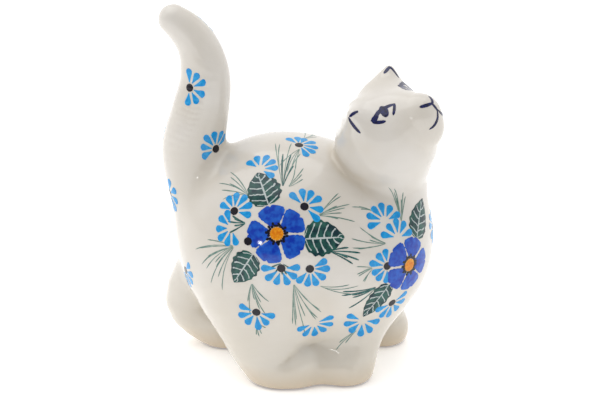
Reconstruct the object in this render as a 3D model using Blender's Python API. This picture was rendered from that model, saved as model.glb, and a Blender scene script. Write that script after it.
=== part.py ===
"""A hollow stoneware cat, luted together from nine clay pieces, standing on four feet.

The whole clay form is one smooth distance field, in millimetres. Each piece is the form inside its
own region, so that neighbours share one skin and meet on flat joint faces with a thin slip gap.
The cat faces +X, its right side is -Y, and its feet stand on Z = 0.
"""

import bmesh
import bpy
import numpy as np
from mathutils import Matrix, Vector

MM = 0.001
FOOTPRINT_MIDDLE = np.array([-3.28, 0.35, 0.0])  # of the clay form, which becomes the origin
GAP = 0.3  # slip gap between two luted faces
BODY_WALL = 5.0
HEAD_WALL = 4.5
FOOT_EDGE = 2.5  # softness of the edge round each foot's flat base
NECK_CREASE = 5.0
TAIL_FILLET = 7.0
EAR_FILLET = 5.0
MUZZLE_FILLET, FACE_FILLET, NECK_FILLET = 8.0, 11.0, 9.0
LEG_FILLET = {"front_right": 6, "hind_right": 9, "front_left": 6, "hind_left": 6}
BELLY_VENT_R = 7.0
NECK_VENT_R = 8.0
SHARP_DEGREES = 45

# Head: its centre, and how far it is turned to the right, lifted and leaned, in degrees.
HEAD_CENTRE = np.array([33.0, -9.0, 108.0])
HEAD_TURN, HEAD_LIFT, HEAD_LEAN = 40, 35, 20
EAR_ROOT = np.array([3.0, 9.5, 9.0])  # forward, left, up from the head's centre
EAR_TIP = np.array([8.4, 18.0, 18.0])
EAR_ROOT_R, EAR_TIP_R, EAR_FLAT = 12.0, 3.0, 0.8
EAR_JOINT = 6.3  # height of the ear's joint above its root
EAR_REGION = 15.0

# Chains of x, y, z, radius.
NECK = [(33, -3, 66, 15.5), (36, -5, 86, 16), (35, -7, 99, 18.4)]
TAIL = [
    (-38, 2, 60, 15), (-46, 2, 80, 15), (-49.8, 2, 97, 13.9), (-47.2, 2, 112.4, 12.7),
    (-44.6, 2, 126, 11.3), (-44.9, 2, 135.4, 10.2), (-47.4, 2, 144, 8.9),
    (-52.3, 2, 151, 7.7), (-57.6, 2, 155.6, 6.6),
]
LEGS = {
    "front_right": [(22, -14, 32, 14), (18.4, -23, 14, 12.6), (16.2, -25, 7, 13.2)],
    "hind_right": [
        (-21, -14, 42, 26), (-18.5, -21, 24, 20), (-16, -25.5, 12, 14.8),
        (-12.5, -27.8, 7, 13.2), (-6.5, -29.6, 7, 11.6),
    ],
    "front_left": [(30, 12, 32, 13), (32.5, 16, 14, 11.8), (34, 16.5, 7, 12.3)],
    "hind_left": [
        (-40, 12, 48, 14), (-53, 15.5, 21, 11.6), (-40, 14, 9.5, 12), (-36, 14, 7.5, 12.2),
    ],
}

# Each region is an upright prism, x0, x1, y0, y1, ended by the joint plane: a point and the
# direction away from the body.
REGIONS = {
    "head": ((5, 75, -50, 42), (34, -5, 90), (0.40, -0.25, 0.88)),
    "tail": ((-82, -20, -28, 32), (-46, 2, 92), (-0.45, 0, 0.89)),
    "front_right": ((2.35, 42, -50, -4), (18, -21, 18), (0.25, -0.42, -0.87)),
    "hind_right": ((-50, 2.05, -52, -4), (-15, -22, 19), (-0.20, -0.42, -0.89)),
    "front_left": ((14, 56, 0, 36), (32.5, 15.5, 20.5), (0.42, 0.28, -0.86)),
    "hind_left": ((-72, -20, -3, 34), (-46, 14, 31.5), (-0.60, 0.20, -0.775)),
}
REGION_TOP = 190.0
REGION_BOTTOM = -8.0

RELAX_STEPS = 5  # rounds of evening out a skin's facets

# Size of the skin's facets.
CELLS = {"body": 5.4, "cavity": 8.0, "head": 3.5, "head_cavity": 5.0, "ear": 2.1, "tail": 4.4, "leg": 3.7}
COLOURS = {
    "body_shell": (0.80, 0.77, 0.72), "head_shell": (0.81, 0.78, 0.73), "ear": (0.79, 0.76, 0.71),
    "tail": (0.80, 0.76, 0.70), "leg": (0.78, 0.74, 0.67),
}
GLAZE_ROUGHNESS = 0.12


# ---- distances, in millimetres


def unit(v):
    v = np.asarray(v, float)
    return v / np.linalg.norm(v)


def blend(a, b, k):
    """The union of two distances, filleted over about k."""
    h = np.clip(0.5 + 0.5 * (b - a) / k, 0, 1)
    return b * (1 - h) + a * h - k * h * (1 - h)


def oval(p, centre, radii, axes=None):
    q = p - np.asarray(centre, float)
    if axes is not None:
        q = q @ axes.T
    r = np.asarray(radii, float)
    near = np.linalg.norm(q / r, axis=1)
    far = np.linalg.norm(q / r**2, axis=1)
    return near * (near - 1) / np.maximum(far, 1e-9)


def limb(p, points):
    """A chain of tapered round links."""
    points = np.asarray(points, float)
    best = np.full(len(p), 1e9)
    for a, b in zip(points[:-1], points[1:]):
        along = b[:3] - a[:3]
        t = np.clip((p - a[:3]) @ along / (along @ along), 0, 1)
        gone = p - a[:3] - t[:, None] * along
        best = np.minimum(best, np.linalg.norm(gone, axis=1) - a[3] - (b[3] - a[3]) * t)
    return best


def smoothed(points, steps):
    """A smooth curve through a chain's points and radii."""
    points = np.asarray(points, float)
    ends = np.vstack([2 * points[0] - points[1], points, 2 * points[-1] - points[-2]])
    out = []
    for i in range(1, len(ends) - 2):
        a, b, c, d = ends[i - 1 : i + 3]
        for t in np.arange(steps) / steps:
            bend = (2 * a - 5 * b + 4 * c - d) * t**2 + (3 * b - a - 3 * c + d) * t**3
            out.append(0.5 * (2 * b + (c - a) * t + bend))
    out.append(points[-1])
    return np.array(out)


def headAxes():
    turn, lift, lean = np.radians([HEAD_TURN, HEAD_LIFT, HEAD_LEAN])
    flat = np.cos(lift)
    forward = np.array([np.cos(turn) * flat, -np.sin(turn) * flat, np.sin(lift)])
    side = np.array([np.sin(turn), np.cos(turn), 0])
    left = side * np.cos(lean) + np.cross(forward, side) * np.sin(lean)
    return np.array([forward, left, np.cross(forward, left)])


AXES = headAxes()
TAIL_CURVE = smoothed(TAIL, 6)
LEG_CURVES = {name: smoothed(points, 4) for name, points in LEGS.items()}


def trunk(p):
    """The round body with its chest and rump."""
    tip = np.radians(9)
    sloped = np.array([(np.cos(tip), 0, -np.sin(tip)), (0, 1, 0), (np.sin(tip), 0, np.cos(tip))])
    barrel = oval(p, (0, 0, 55), (53, 44.5, 44.5), sloped)
    rump = oval(p, (-14, 1, 59), (42, 41, 42))
    chest = oval(p, (26, -2, 57.5), (25, 31, 29))
    return blend(blend(barrel, rump, 14), chest, 14)


def headAndNeck(p):
    q = (p - HEAD_CENTRE) @ AXES.T
    skull = oval(q, (-0.8, -0.3, 0.2), (21.3, 22.2, 18.6))
    muzzle = limb(q, [(8, 0, 1, 12.5), (23.8, 0, 0, 7.6)])
    chin = limb(q, [(4, 0, -7.5, 13), (19.4, 0, -7.6, 7.4)])
    face = blend(skull, blend(muzzle, chin, MUZZLE_FILLET), FACE_FILLET)
    return blend(limb(p, NECK), face, NECK_FILLET)


def earLine(side):
    flip = np.array([1, side, 1])
    return EAR_ROOT * flip, EAR_TIP * flip


def ear(p, side):
    """A small flattened cone with round ends, side +1 for the left."""
    root, tip = earLine(side)
    up = unit(tip - root)
    out = unit(np.cross(up, (1, 0, 0)))
    front = np.cross(out, up)
    height = np.linalg.norm(tip - root)
    q = (p - HEAD_CENTRE) @ AXES.T - root
    z = q @ up
    around = np.hypot(q @ out, q @ front / EAR_FLAT)
    lean = (EAR_ROOT_R - EAR_TIP_R) / height
    flank = np.sqrt(1 - lean * lean)
    reach = z * flank - around * lean
    belowRoot = np.hypot(around, z) - EAR_ROOT_R
    pastTip = np.hypot(around, z - height) - EAR_TIP_R
    side = around * flank + z * lean - EAR_ROOT_R
    gap = np.where(reach < 0, belowRoot, np.where(reach > height * flank, pastTip, side))
    return EAR_FLAT * gap


def clay(p):
    """The whole outer skin."""
    d = blend(trunk(p), limb(p, TAIL_CURVE), TAIL_FILLET)
    for name, points in LEG_CURVES.items():
        d = blend(d, limb(p, points), LEG_FILLET[name])
    top = headAndNeck(p)
    for side in (-1, 1):
        top = blend(top, ear(p, side), EAR_FILLET)
    d = blend(d, top, NECK_CREASE)
    return -blend(-d, p[:, 2], FOOT_EDGE)


# ---- skins


def slope(field, p):
    step = 0.05
    g = np.empty_like(p)
    for i in range(3):
        d = np.zeros(3)
        d[i] = step
        g[:, i] = (field(p + d) - field(p - d)) / (2 * step)
    return g


def cellCorners(values, n, corner):
    return values[
        corner[0] : corner[0] + n[0], corner[1] : corner[1] + n[1], corner[2] : corner[2] + n[2]
    ]


def skinPoints(values, n):
    """One point per cell that the surface crosses, at the mean of its edges' crossings."""
    total, count = np.zeros(tuple(n) + (3,)), np.zeros(tuple(n))
    for corner in np.ndindex(2, 2, 2):
        for axis in range(3):
            if corner[axis]:
                continue
            other = list(corner)
            other[axis] = 1
            a, b = cellCorners(values, n, corner), cellCorners(values, n, other)
            crossed = (a < 0) != (b < 0)
            place = np.zeros(tuple(n) + (3,)) + np.array(corner, float)
            place[..., axis] += np.where(crossed, a / np.where(crossed, a - b, 1), 0)
            total += place * crossed[..., None]
            count += crossed
    return total, count


def skinFaces(inside, index, n):
    """A quad across every grid edge that the surface crosses."""
    faces = []
    for axis in range(3):
        low, high = [slice(None)] * 3, [slice(None)] * 3
        low[axis], high[axis] = slice(0, -1), slice(1, None)
        u, w = (axis + 1) % 3, (axis + 2) % 3
        edges = np.argwhere(inside[tuple(low)] != inside[tuple(high)])
        fits = (edges[:, u] > 0) & (edges[:, w] > 0) & (edges[:, u] < n[u]) & (edges[:, w] < n[w])
        edges = edges[fits]
        quad = []
        for du, dw in ((1, 1), (0, 1), (0, 0), (1, 0)):
            cell = edges.copy()
            cell[:, u] -= du
            cell[:, w] -= dw
            quad.append(index[tuple(cell.T)])
        quad = np.stack(quad, 1)
        turned = ~inside[tuple(low)][tuple(edges.T)]
        quad[turned] = quad[turned][:, ::-1]
        faces.append(quad)
    return np.vstack(faces)


def evened(verts, quads):
    """Each point moved half way to the mean of its neighbours."""
    total, count = np.zeros_like(verts), np.zeros(len(verts))
    for i in range(4):
        a, b = quads[:, i], quads[:, (i + 1) % 4]
        np.add.at(total, a, verts[b])
        np.add.at(total, b, verts[a])
        np.add.at(count, a, 1)
        np.add.at(count, b, 1)
    return (verts + total / count[:, None]) / 2


def settled(field, verts, cell):
    """Each point moved back onto the surface, by no more than a quarter of a cell."""
    g = slope(field, verts)
    off = np.clip(field(verts), -cell / 4, cell / 4)
    return verts - off[:, None] * g / np.maximum((g * g).sum(1), 0.2)[:, None]


def halved(verts, quads):
    """Two triangles for each quad, split along its shorter diagonal."""
    a, b, c, d = quads.T
    first = np.linalg.norm(verts[a] - verts[c], axis=1) < np.linalg.norm(verts[b] - verts[d], axis=1)
    one = np.where(first[:, None], np.stack([a, b, c], 1), np.stack([a, b, d], 1))
    two = np.where(first[:, None], np.stack([a, c, d], 1), np.stack([b, c, d], 1))
    return np.vstack([one, two])


def skin(name, field, low, high, cell):
    """A closed mesh of a field's surface inside a box, in metres."""
    low, high = np.asarray(low, float), np.asarray(high, float)
    middle, half = (low + high) / 2, (high - low) / 2

    def boxed(p):
        return np.maximum(field(p), (np.abs(p - middle) - half).max(1))

    first = low - 1.5 * cell
    count = np.ceil((high - low) / cell).astype(int) + 4
    axes = [first[i] + cell * np.arange(count[i]) for i in range(3)]
    grid = np.stack(np.meshgrid(*axes, indexing="ij"), -1).reshape(-1, 3)
    values = boxed(grid).reshape(count)
    n = count - 1
    total, crossings = skinPoints(values, n)
    used = crossings > 0
    index = np.full(tuple(n), -1)
    index[used] = np.arange(used.sum())
    verts = first + cell * (np.argwhere(used) + total[used] / crossings[used][:, None])
    quads = skinFaces(values < 0, index, n)
    for _ in range(RELAX_STEPS):
        verts = settled(boxed, evened(verts, quads), cell)
    mesh = bpy.data.meshes.new(name)
    mesh.from_pydata(metres(verts).tolist(), [], halved(verts, quads).tolist())
    return asObject(name, mesh)


# ---- objects


def metres(p):
    return (np.asarray(p, float) - FOOTPRINT_MIDDLE) * MM


def asObject(name, mesh):
    obj = bpy.data.objects.new(name, mesh)
    bpy.context.scene.collection.objects.link(obj)
    return obj


def clearScene():
    for obj in list(bpy.data.objects):
        bpy.data.objects.remove(obj, do_unlink=True)


def hull(name, corners):
    """A convex cutter round a few points in millimetres."""
    bm = bmesh.new()
    for corner in corners:
        bm.verts.new(metres(corner))
    bmesh.ops.convex_hull(bm, input=bm.verts)
    bmesh.ops.recalc_face_normals(bm, faces=bm.faces)
    mesh = bpy.data.meshes.new(name)
    bm.to_mesh(mesh)
    bm.free()
    return asObject(name, mesh)


def region(name, grow=0.0):
    """The upright prism of a piece's region, ended by its joint plane."""
    (x0, x1, y0, y1), point, normal = REGIONS[name]
    normal = unit(normal)
    point = np.asarray(point, float) - grow * normal
    end = REGION_TOP if normal[2] > 0 else REGION_BOTTOM
    corners = []
    for x in (x0 - grow, x1 + grow):
        for y in (y0 - grow, y1 + grow):
            side = normal[0] * (x - point[0]) + normal[1] * (y - point[1])
            corners += [(x, y, end), (x, y, point[2] - side / normal[2])]
    return hull("region_" + name, corners)


def earRegion(side, grow=0.0):
    """A box round one ear, above the plane it is luted on."""
    root, tip = earLine(side)
    up = unit(tip - root)
    out = unit(np.cross(up, (1, 0, 0)))
    front = np.cross(out, up)
    reach = EAR_REGION + grow
    corners = []
    for a in (-reach, reach):
        for b in (-reach, reach):
            for h in (EAR_JOINT - grow, EAR_JOINT + reach):
                corners.append(HEAD_CENTRE + (root + a * out + b * front + h * up) @ AXES)
    return hull("region_ear", corners)


def rod(name, radius, start, end, sides=24):
    """A round cutter from one point to another, in millimetres."""
    start, end = Vector(metres(start)), Vector(metres(end))
    bm = bmesh.new()
    turn = (end - start).to_track_quat("Z", "Y").to_matrix().to_4x4()
    bmesh.ops.create_cone(
        bm, cap_ends=True, segments=sides, radius1=radius * MM, radius2=radius * MM,
        depth=(end - start).length, matrix=Matrix.Translation((start + end) / 2) @ turn,
    )
    mesh = bpy.data.meshes.new(name)
    bm.to_mesh(mesh)
    bm.free()
    return asObject(name, mesh)


def cut(obj, cutter, operation):
    """Applies one exact Boolean and removes its cutter."""
    step = obj.modifiers.new("cut", "BOOLEAN")
    step.operation = operation
    step.solver = "EXACT"
    step.object = cutter
    shown = obj.evaluated_get(bpy.context.evaluated_depsgraph_get())
    mesh = bpy.data.meshes.new_from_object(shown)
    obj.modifiers.clear()
    obj.data = mesh
    bpy.data.objects.remove(cutter, do_unlink=True)


def finish(obj, colour):
    """Tidies a piece's mesh, shades it smooth and gives it its glaze."""
    mesh = obj.data
    bm = bmesh.new()
    bm.from_mesh(mesh)
    bmesh.ops.dissolve_degenerate(bm, edges=bm.edges, dist=0.00005)
    flat = [face for face in bm.faces if len(face.verts) > 4]
    bmesh.ops.triangulate(bm, faces=flat)
    bm.to_mesh(mesh)
    bm.free()
    mesh.polygons.foreach_set("use_smooth", [True] * len(mesh.polygons))
    mesh.set_sharp_from_angle(angle=np.radians(SHARP_DEGREES))
    material = bpy.data.materials.new(obj.name + "_glaze")
    material.use_nodes = True
    shader = material.node_tree.nodes["Principled BSDF"]
    shader.inputs["Base Color"].default_value = (*colour, 1)
    shader.inputs["Roughness"].default_value = GLAZE_ROUGHNESS
    shader.inputs["Metallic"].default_value = 0
    mesh.materials.clear()
    mesh.materials.append(material)
    return obj


# ---- pieces


def makeBodyShell():
    body = skin("body_shell", clay, (-70, -50, -3), (66, 50, 118), CELLS["body"])
    for name in REGIONS:
        cut(body, region(name, GAP), "DIFFERENCE")
    cavity = skin("cavity", lambda p: trunk(p) + BODY_WALL, (-60, -45, 5), (58, 45, 105), CELLS["cavity"])
    cut(body, cavity, "DIFFERENCE")
    cut(body, rod("belly_vent", BELLY_VENT_R, (2, 0, 0), (2, 0, 28)), "DIFFERENCE")
    point, normal = np.array(REGIONS["head"][1]), unit(REGIONS["head"][2])
    neckVent = rod("neck_vent", NECK_VENT_R, point - 18 * normal, point + 6 * normal)
    cut(body, neckVent, "DIFFERENCE")
    return finish(body, COLOURS["body_shell"])


def makeHeadShell():
    head = skin("head_shell", clay, (4, -48, 72), (66, 32, 140), CELLS["head"])
    cut(head, region("head"), "INTERSECT")
    for side in (-1, 1):
        cut(head, earRegion(side, GAP), "DIFFERENCE")
    cavity = skin(
        "cavity", lambda p: headAndNeck(p) + HEAD_WALL, (6, -42, 70), (62, 28, 134),
        CELLS["head_cavity"],
    )
    cut(head, cavity, "DIFFERENCE")
    return finish(head, COLOURS["head_shell"])


def makeEar(name, side):
    middle = HEAD_CENTRE + (sum(earLine(side)) / 2) @ AXES
    piece = skin(name, clay, middle - 17, middle + 17, CELLS["ear"])
    cut(piece, earRegion(side), "INTERSECT")
    return finish(piece, COLOURS["ear"])


def makeTail():
    tail = skin("tail", clay, (-72, -24, 76), (-24, 28, 168), CELLS["tail"])
    cut(tail, region("tail"), "INTERSECT")
    return finish(tail, COLOURS["tail"])


def makeLeg(name, key):
    x0, x1, y0, y1 = REGIONS[key][0]
    leg = skin(name, clay, (x0 - 4, y0 - 4, -4), (x1 + 4, y1 + 4, 52), CELLS["leg"])
    cut(leg, region(key), "INTERSECT")
    return finish(leg, COLOURS["leg"])


clearScene()
makeBodyShell()
makeHeadShell()
makeEar("left_ear", 1)
makeEar("right_ear", -1)
makeTail()
makeLeg("front_left_leg", "front_left")
makeLeg("front_right_leg", "front_right")
makeLeg("hind_left_leg", "hind_left")
makeLeg("hind_right_leg", "hind_right")
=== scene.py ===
import math
from functools import partial

import bmesh
import bpy
import numpy as np
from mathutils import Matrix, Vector


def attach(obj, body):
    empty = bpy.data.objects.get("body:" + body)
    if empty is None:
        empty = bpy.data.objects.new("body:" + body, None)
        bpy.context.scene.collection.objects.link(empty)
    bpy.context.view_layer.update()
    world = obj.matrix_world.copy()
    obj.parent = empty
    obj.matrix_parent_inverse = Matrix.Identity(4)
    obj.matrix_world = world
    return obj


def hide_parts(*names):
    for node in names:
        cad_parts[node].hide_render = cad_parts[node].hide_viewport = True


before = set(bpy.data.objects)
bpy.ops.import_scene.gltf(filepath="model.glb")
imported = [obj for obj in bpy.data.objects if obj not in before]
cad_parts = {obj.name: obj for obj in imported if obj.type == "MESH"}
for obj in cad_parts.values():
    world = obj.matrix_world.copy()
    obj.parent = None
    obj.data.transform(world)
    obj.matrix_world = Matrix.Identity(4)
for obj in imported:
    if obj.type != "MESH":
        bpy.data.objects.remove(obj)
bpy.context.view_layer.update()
print("frame loaded")

mm = 0.001
formMiddle = np.array([-3.28, 0.35, 0.0])  # the point of the clay form that stands on the origin


def linear(hexColour):  # sRGB hex to linear
    parts = [int(hexColour[i : i + 2], 16) / 255 for i in (1, 3, 5)]
    return (*[c / 12.92 if c <= 0.04045 else ((c + 0.055) / 1.055) ** 2.4 for c in parts], 1.0)


def node(tree, kind, inputs=None, output=0, **settings):  # a node with its settings, and its links or values
    made = tree.nodes.new(kind)
    for name, value in settings.items():
        setattr(made, name, value)
    for key, value in (inputs or {}).items():
        if isinstance(value, bpy.types.NodeSocket):
            tree.links.new(value, made.inputs[key])
        else:
            made.inputs[key].default_value = value
    return made.outputs[output] if made.outputs else made


# The clay form is a distance field in millimetres, in the form's own place


def unit(v):
    v = np.asarray(v, float)
    return v / np.linalg.norm(v)


def blend(a, b, k):  # union filleted over about k
    h = np.clip(0.5 + 0.5 * (b - a) / k, 0, 1)
    return b * (1 - h) + a * h - k * h * (1 - h)


def pressed(a, b, k):  # a with b pressed out of it
    return -blend(-a, b, k)


def oval(p, centre, radii, axes=None):
    q = p - np.asarray(centre, float)
    if axes is not None:
        q = q @ axes.T
    r = np.asarray(radii, float)
    near = np.linalg.norm(q / r, axis=1)
    far = np.linalg.norm(q / r**2, axis=1)
    return near * (near - 1) / np.maximum(far, 1e-9)


def limb(p, points):  # chain of tapered round links
    points = np.asarray(points, float)
    best = np.full(len(p), 1e9)
    for a, b in zip(points[:-1], points[1:]):
        along = b[:3] - a[:3]
        t = np.clip((p - a[:3]) @ along / (along @ along), 0, 1)
        gone = p - a[:3] - t[:, None] * along
        best = np.minimum(best, np.linalg.norm(gone, axis=1) - a[3] - (b[3] - a[3]) * t)
    return best


def smoothed(points, steps):  # smooth curve through a chain
    points = np.asarray(points, float)
    ends = np.vstack([2 * points[0] - points[1], points, 2 * points[-1] - points[-2]])
    out = []
    for i in range(1, len(ends) - 2):
        a, b, c, d = ends[i - 1 : i + 3]
        for t in np.arange(steps) / steps:
            bend = (2 * a - 5 * b + 4 * c - d) * t**2 + (3 * b - a - 3 * c + d) * t**3
            out.append(0.5 * (2 * b + (c - a) * t + bend))
    out.append(points[-1])
    return np.array(out)


def headWays(turn, lift, lean):  # forward, left and up, for a head turned, lifted and leaned
    turn, lift, lean = np.radians([turn, lift, lean])
    forward = np.array([np.cos(turn) * np.cos(lift), -np.sin(turn) * np.cos(lift), np.sin(lift)])
    side = np.array([np.sin(turn), np.cos(turn), 0])
    left = side * np.cos(lean) + np.cross(forward, side) * np.sin(lean)
    return np.array([forward, left, np.cross(forward, left)])


# Centres and radii, and x, y, z, radius chains of round links; the fillets smooth one into the next
clayForm = {
    "trunkTilt": 9,
    "barrel": ((0, 0, 55), (53, 44.5, 44.5)),
    "rump": ((-14, 1, 59), (42, 41, 42)),
    "chest": ((26, -2, 57.5), (25, 31, 29)),
    "trunkFillet": 14,
    "headCentre": np.array([33.0, -9.0, 108.0]),
    "headAxes": headWays(40, 35, 20),
    "skull": ((-0.8, -0.3, 0.2), (21.3, 22.2, 18.6)),
    "muzzle": [(8, 0, 1, 12.5), (23.8, 0, 0, 7.6)],
    "chin": [(4, 0, -7.5, 13), (19.4, 0, -7.6, 7.4)],
    "muzzleFillet": 8,
    "faceFillet": 11,
    "neck": [(33, -3, 66, 15.5), (36, -5, 86, 16), (35, -7, 99, 18.4)],
    "neckFillet": 9,
    "neckCrease": ((22, 40), (3.5, 11.0)),  # sharp at the nape, smooth at the throat
    "tail": smoothed([
        (-38, 2, 60, 15), (-46, 2, 80, 15), (-49.8, 2, 97, 13.9), (-47.2, 2, 112.4, 12.7),
        (-44.6, 2, 126, 11.3), (-44.9, 2, 135.4, 10.2), (-47.4, 2, 144, 8.9),
        (-52.3, 2, 151, 7.7), (-57.6, 2, 155.6, 6.6)], 6),
    "tailFillet": 7,
    "earRoot": np.array([3.0, 9.5, 9.0]),
    "earTip": np.array([8.4, 18.0, 18.0]),
    "earRadii": (12.0, 3.0),
    "earFlat": 0.8,
    "earJoint": 6.3,
    "earReach": 22,
    "earRoom": 15,
    "earFillet": 5,
    "footEdge": 2.5,
    "toe": ((-2.5, -33.5, 11.5), (5.5, 6.5, 8.0)),
    "toeFillet": 3,
    "bodyWall": 5.0,
    "ventPlace": 2.0,
    "ventRadius": 7.0,
    "ventTop": 30,
    "ventEdge": 1.0,
}
# The mesh of the skin: its box and cell, and how it is cut and closed at the joints
skin = {
    "low": (-70, -52, -3.6), "high": (66, 52, 168), "cell": 1.2, "rounds": 3, "onSkin": 0.35,
    "cutDepth": 2, "cutMargin": 3, "jointInset": 2,
    "feetJoint": ((2, 2.4, -50, -4), (2.2, -25, 5), (1, 0, 0)), "earHalf": 16,
}
legChains = {
    "front_right_leg": (11, [(22, -14, 32, 14), (18.4, -23, 14, 12.6), (16.2, -25, 7, 13.2)]),
    "hind_right_leg": (12, [
        (-21, -14, 42, 26), (-18.5, -21, 24, 20), (-16, -25.5, 12, 14.8),
        (-12.5, -27.8, 7, 13.2), (-6.5, -29.6, 7, 11.6)]),
    "front_left_leg": (6, [(30, 12, 32, 13), (32.5, 16, 14, 11.8), (34, 16.5, 7, 12.3)]),
    "hind_left_leg": (6, [
        (-40, 12, 48, 14), (-53, 15.5, 21, 11.6), (-40, 14, 9.5, 12), (-36, 14, 7.5, 12.2)]),
}
legChains = {name: (k, smoothed(points, 4)) for name, (k, points) in legChains.items()}

# Footprint x0, x1, y0, y1 of each piece, then its joint plane: a point and the way out of the body
regions = {
    "head_shell": ((5, 75, -50, 42), (34, -5, 90), (0.40, -0.25, 0.88)),
    "tail": ((-82, -20, -28, 32), (-46, 2, 92), (-0.45, 0, 0.89)),
    "front_right_leg": ((2.2, 42, -50, -4), (18, -21, 18), (0.25, -0.42, -0.87)),
    "hind_right_leg": ((-50, 2.2, -52, -4), (-15, -22, 19), (-0.20, -0.42, -0.89)),
    "front_left_leg": ((14, 56, 0, 36), (32.5, 15.5, 20.5), (0.42, 0.28, -0.86)),
    "hind_left_leg": ((-72, -20, -3, 34), (-46, 14, 31.5), (-0.60, 0.20, -0.775)),
}


def trunk(p):
    tip, fillet = np.radians(clayForm["trunkTilt"]), clayForm["trunkFillet"]
    sloped = np.array([(np.cos(tip), 0, -np.sin(tip)), (0, 1, 0), (np.sin(tip), 0, np.cos(tip))])
    barrel = oval(p, *clayForm["barrel"], sloped)
    back = blend(barrel, oval(p, *clayForm["rump"]), fillet)
    return blend(back, oval(p, *clayForm["chest"]), fillet)


def headAndNeck(p):
    q = (p - clayForm["headCentre"]) @ clayForm["headAxes"].T
    jaw = blend(limb(q, clayForm["muzzle"]), limb(q, clayForm["chin"]), clayForm["muzzleFillet"])
    face = blend(oval(q, *clayForm["skull"]), jaw, clayForm["faceFillet"])
    return blend(limb(p, clayForm["neck"]), face, clayForm["neckFillet"])


def earFrame(side):  # root, tip and the ear's own three directions, in the head's axes
    flip = np.array([1, side, 1])
    root, tip = clayForm["earRoot"] * flip, clayForm["earTip"] * flip
    up = unit(tip - root)
    out = unit(np.cross(up, (1, 0, 0)))
    return root, tip, out, np.cross(out, up), up


def ear(p, side):  # a flattened cone with round ends
    root, tip, out, front, up = earFrame(side)
    height, flat = np.linalg.norm(tip - root), clayForm["earFlat"]
    wide, narrow = clayForm["earRadii"]
    q = (p - clayForm["headCentre"]) @ clayForm["headAxes"].T - root
    z, around = q @ up, np.hypot(q @ out, q @ front / flat)
    lean = (wide - narrow) / height
    flank = math.sqrt(1 - lean * lean)
    reach = z * flank - around * lean
    below, past = np.hypot(around, z) - wide, np.hypot(around, z - height) - narrow
    beside = around * flank + z * lean - wide
    return flat * np.where(reach < 0, below, np.where(reach > height * flank, past, beside))


def clay(p):  # the whole skin, outside and in the hollow
    d = blend(trunk(p), limb(p, clayForm["tail"]), clayForm["tailFillet"])
    for fillet, chain in legChains.values():
        d = blend(d, limb(p, chain), fillet)
    d = blend(d, oval(p, *clayForm["toe"]), clayForm["toeFillet"])
    top = headAndNeck(p)
    for side in (-1, 1):
        top = blend(top, ear(p, side), clayForm["earFillet"])
    d = blend(d, top, np.interp(p[:, 0], *clayForm["neckCrease"]))
    d = pressed(d, p[:, 2], clayForm["footEdge"])
    hollow = trunk(p) + clayForm["bodyWall"]
    vent = np.hypot(p[:, 0] - clayForm["ventPlace"], p[:, 1]) - clayForm["ventRadius"]
    vent = np.maximum(vent, p[:, 2] - clayForm["ventTop"])
    return pressed(d, np.minimum(hollow, vent), clayForm["ventEdge"])


def slope(field, p, step=0.05):
    g = np.empty_like(p)
    for i in range(3):
        d = np.zeros(3)
        d[i] = step
        g[:, i] = (field(p + d) - field(p - d)) / (2 * step)
    return g


def settled(field, p, reach):  # moved back onto the surface
    g = slope(field, p)
    off = np.clip(field(p), -reach, reach)
    return p - off[:, None] * g / np.maximum((g * g).sum(1), 0.2)[:, None]


def sampled(field, first, count, cell):  # the field on a grid, worked out in full only near the surface
    coarse = 4
    rough = [np.arange(0, n + 2 * coarse, coarse) for n in count]
    points = np.stack(np.meshgrid(*[first[i] + cell * rough[i] for i in range(3)], indexing="ij"), -1)
    far = field(points.reshape(-1, 3)).reshape([len(r) for r in rough])
    whole = far
    for i in range(3):
        whole = np.repeat(whole, coarse, axis=i)
    half = coarse // 2
    whole = whole[half : half + count[0], half : half + count[1], half : half + count[2]].copy()
    near = np.argwhere(np.abs(whole) < cell * (coarse + 1.5))
    whole[tuple(near.T)] = field(first + cell * near)
    return whole


def skinMesh(field, low, high, cell, rounds):  # points and quads of a field's surface
    first = np.asarray(low, float)
    count = np.ceil((np.asarray(high, float) - first) / cell).astype(int) + 1
    values = sampled(field, first, count, cell)
    n = count - 1
    total, crossings = np.zeros(tuple(n) + (3,)), np.zeros(tuple(n))
    for corner in np.ndindex(2, 2, 2):
        for axis in range(3):
            if corner[axis]:
                continue
            other = list(corner)
            other[axis] = 1
            a, b = [
                values[c[0] : c[0] + n[0], c[1] : c[1] + n[1], c[2] : c[2] + n[2]] for c in (corner, other)
            ]
            crossed = (a < 0) != (b < 0)
            place = np.zeros(tuple(n) + (3,)) + np.array(corner, float)
            place[..., axis] += np.where(crossed, a / np.where(crossed, a - b, 1), 0)
            total += place * crossed[..., None]
            crossings += crossed
    used = crossings > 0
    index = np.full(tuple(n), -1)
    index[used] = np.arange(used.sum())
    points = first + cell * (np.argwhere(used) + total[used] / crossings[used][:, None])
    quads = skinQuads(values < 0, index, n)
    for _ in range(rounds):
        points = settled(field, evened(points, quads), cell / 4)
    return points, quads


def skinQuads(inside, index, n):
    faces = []
    for axis in range(3):
        low, high = [slice(None)] * 3, [slice(None)] * 3
        low[axis], high[axis] = slice(0, -1), slice(1, None)
        u, w = (axis + 1) % 3, (axis + 2) % 3
        edges = np.argwhere(inside[tuple(low)] != inside[tuple(high)])
        edges = edges[(edges[:, u] > 0) & (edges[:, w] > 0) & (edges[:, u] < n[u]) & (edges[:, w] < n[w])]
        quad = []
        for du, dw in ((1, 1), (0, 1), (0, 0), (1, 0)):
            cell = edges.copy()
            cell[:, u] -= du
            cell[:, w] -= dw
            quad.append(index[tuple(cell.T)])
        quad = np.stack(quad, 1)
        back = ~inside[tuple(low)][tuple(edges.T)]
        quad[back] = quad[back][:, ::-1]
        faces.append(quad)
    return np.vstack(faces)


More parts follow.
